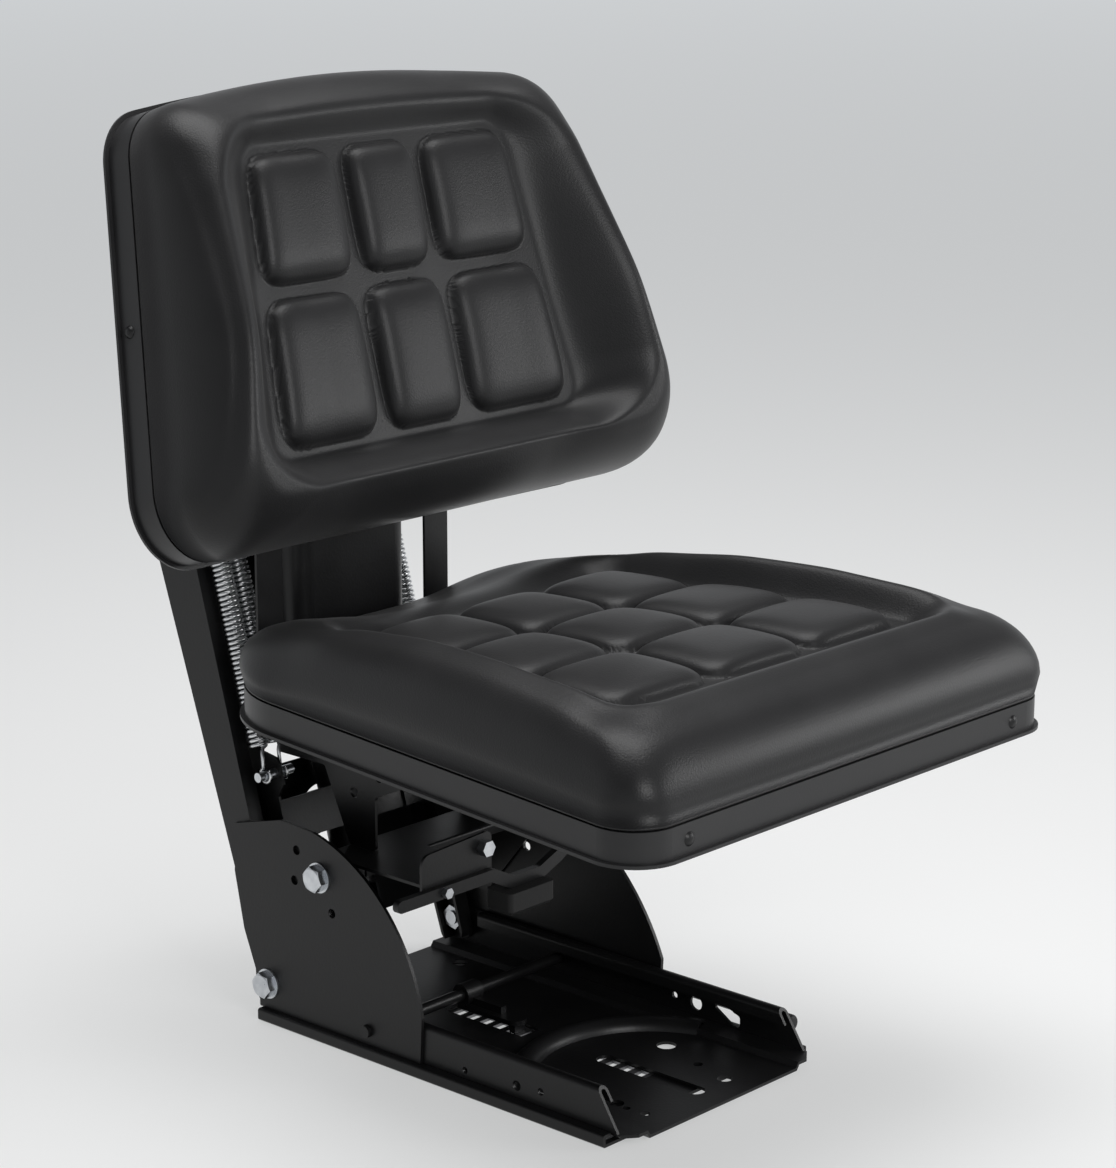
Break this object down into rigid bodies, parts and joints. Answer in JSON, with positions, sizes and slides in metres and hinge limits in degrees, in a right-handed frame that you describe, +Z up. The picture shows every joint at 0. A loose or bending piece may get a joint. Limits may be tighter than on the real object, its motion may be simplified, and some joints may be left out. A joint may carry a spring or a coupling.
{
  "type": "tractor seat",
  "caption": "Padded tractor seat with a backrest on a leaning roller suspension tower with extension springs, on a sliding pressed-steel tray.",
  "frame": {"origin": "centre of the rectangle of mounting holes, on the underside of the rails", "axes": "+Z up, -Y towards the front of the seat, +X towards the sitting driver's left"},
  "size_m": [0.5212, 0.6606, 0.7637],
  "materials": {
    "vinyl": "satin black vinyl with a fine grain",
    "pan_shell": "satin black",
    "black_steel": "semi-gloss black powder coat",
    "zinc": "bright zinc plate",
    "spring_steel": "bright zinc plate",
    "bare_steel": "greased steel",
    "rubber": "matt black",
    "nylon": "dark nylon",
    "grip": "matt black"
  },
  "bodies": {
    "base": {"rail_right": "black_steel", "rail_left": "black_steel", "rail_strap_front": "black_steel", "rail_strap_rear": "black_steel", "lock_rack": "bare_steel"},
    "tray": {"tray": "black_steel", "slide_runners": "bare_steel", "side_plate_right": "black_steel", "side_plate_left": "black_steel", "upright_right": "black_steel", "upright_left": "black_steel", "guide_strips": "black_steel", "tower_gussets": "black_steel", "tower_back_plate": "black_steel", "tower_top_plate": "black_steel", "rebound_stops": "rubber", "tower_bolts": "zinc", "tower_nuts": "zinc", "tower_washers": "zinc", "damper_tube": "black_steel", "damper_guide": "bare_steel", "damper_pin_lower": "zinc", "spring_outer_right": "spring_steel", "spring_outer_left": "spring_steel", "spring_inner_right": "spring_steel", "spring_inner_left": "spring_steel"},
    "slide_lever": {"slide_lever": "black_steel", "lever_grip": "grip", "slide_latch": "black_steel"},
    "carriage": {"carriage_side_right": "black_steel", "carriage_side_left": "black_steel", "carriage_cross_lower": "black_steel", "carriage_cross_upper": "black_steel", "spring_pins": "zinc", "damper_rod": "bare_steel", "damper_pin_upper": "zinc", "roller_axles": "zinc", "seat_arm_right": "black_steel", "seat_arm_left": "black_steel", "frame_shelf": "black_steel", "frame_cross": "black_steel", "stop_bracket": "black_steel", "stop_bar": "black_steel", "bump_stop": "rubber", "frame_bolts": "zinc", "seat_pan": "pan_shell", "seat_cushion": "vinyl", "rim_screws": "zinc", "back_bracket": "black_steel", "back_straps": "black_steel", "back_pan": "pan_shell", "back_cushion": "vinyl"},
    "yoke": {"spring_yoke": "black_steel"},
    "adjuster": {"adjuster_screw": "zinc", "adjuster_knob": "grip"},
    "roller_upper_right": {"roller_upper_right": "nylon"},
    "roller_upper_left": {"roller_upper_left": "nylon"},
    "roller_lower_right": {"roller_lower_right": "nylon"},
    "roller_lower_left": {"roller_lower_left": "nylon"}
  },
  "joints": [
    {"name": "seat_slide", "type": "slide", "parent": "base", "child": "tray", "axis": [0, 1, 0], "range_m": [-0.075, 0.075]},
    {"name": "slide_release", "type": "hinge", "parent": "tray", "child": "slide_lever", "pos_m": [0, 0.067, 0.022], "axis": [-1, 0, 0], "range_deg": [0, 8], "stiffness_Nm_per_rad": 3, "springref_deg": -11.46},
    {"name": "suspension", "type": "slide", "parent": "tray", "child": "carriage", "axis": [0, -0.2756, -0.9613], "range_m": [0, 0.1], "stiffness_N_per_m": 5000, "springref_m": -0.1, "deforming": ["spring_outer_right", "spring_outer_left", "spring_inner_right", "spring_inner_left"]},
    {"name": "spring_preload", "type": "hinge", "parent": "tray", "child": "adjuster", "pos_m": [0, 0.26621, 0.42738], "axis": [0, 0.2756, 0.9613], "range_deg": [0, 2880]},
    {"name": "yoke_slide", "type": "slide", "parent": "tray", "child": "yoke", "axis": [0, 0.2756, 0.9613], "range_m": [0, 0.0241]},
    {"name": "roller_upper_right_spin", "type": "hinge", "parent": "carriage", "child": "roller_upper_right", "pos_m": [-0.1005, 0.28861, 0.39703], "axis": [-1, 0, 0], "range_deg": [0, 521.5]},
    {"name": "roller_upper_left_spin", "type": "hinge", "parent": "carriage", "child": "roller_upper_left", "pos_m": [0.1005, 0.28861, 0.39703], "axis": [-1, 0, 0], "range_deg": [0, 521.5]},
    {"name": "roller_lower_right_spin", "type": "hinge", "parent": "carriage", "child": "roller_lower_right", "pos_m": [-0.1005, 0.23899, 0.224], "axis": [1, 0, 0], "range_deg": [0, 521.5]},
    {"name": "roller_lower_left_spin", "type": "hinge", "parent": "carriage", "child": "roller_lower_left", "pos_m": [0.1005, 0.23899, 0.224], "axis": [1, 0, 0], "range_deg": [0, 521.5]}
  ],
  "couplings": [
    {"joint": "yoke_slide", "follows": "spring_preload", "m_per_rad": 0.00047746},
    {"joint": "roller_upper_right_spin", "follows": "suspension", "rad_per_m": 90.909},
    {"joint": "roller_upper_left_spin", "follows": "suspension", "rad_per_m": 90.909},
    {"joint": "roller_lower_right_spin", "follows": "suspension", "rad_per_m": 90.909},
    {"joint": "roller_lower_left_spin", "follows": "suspension", "rad_per_m": 90.909}
  ]
}
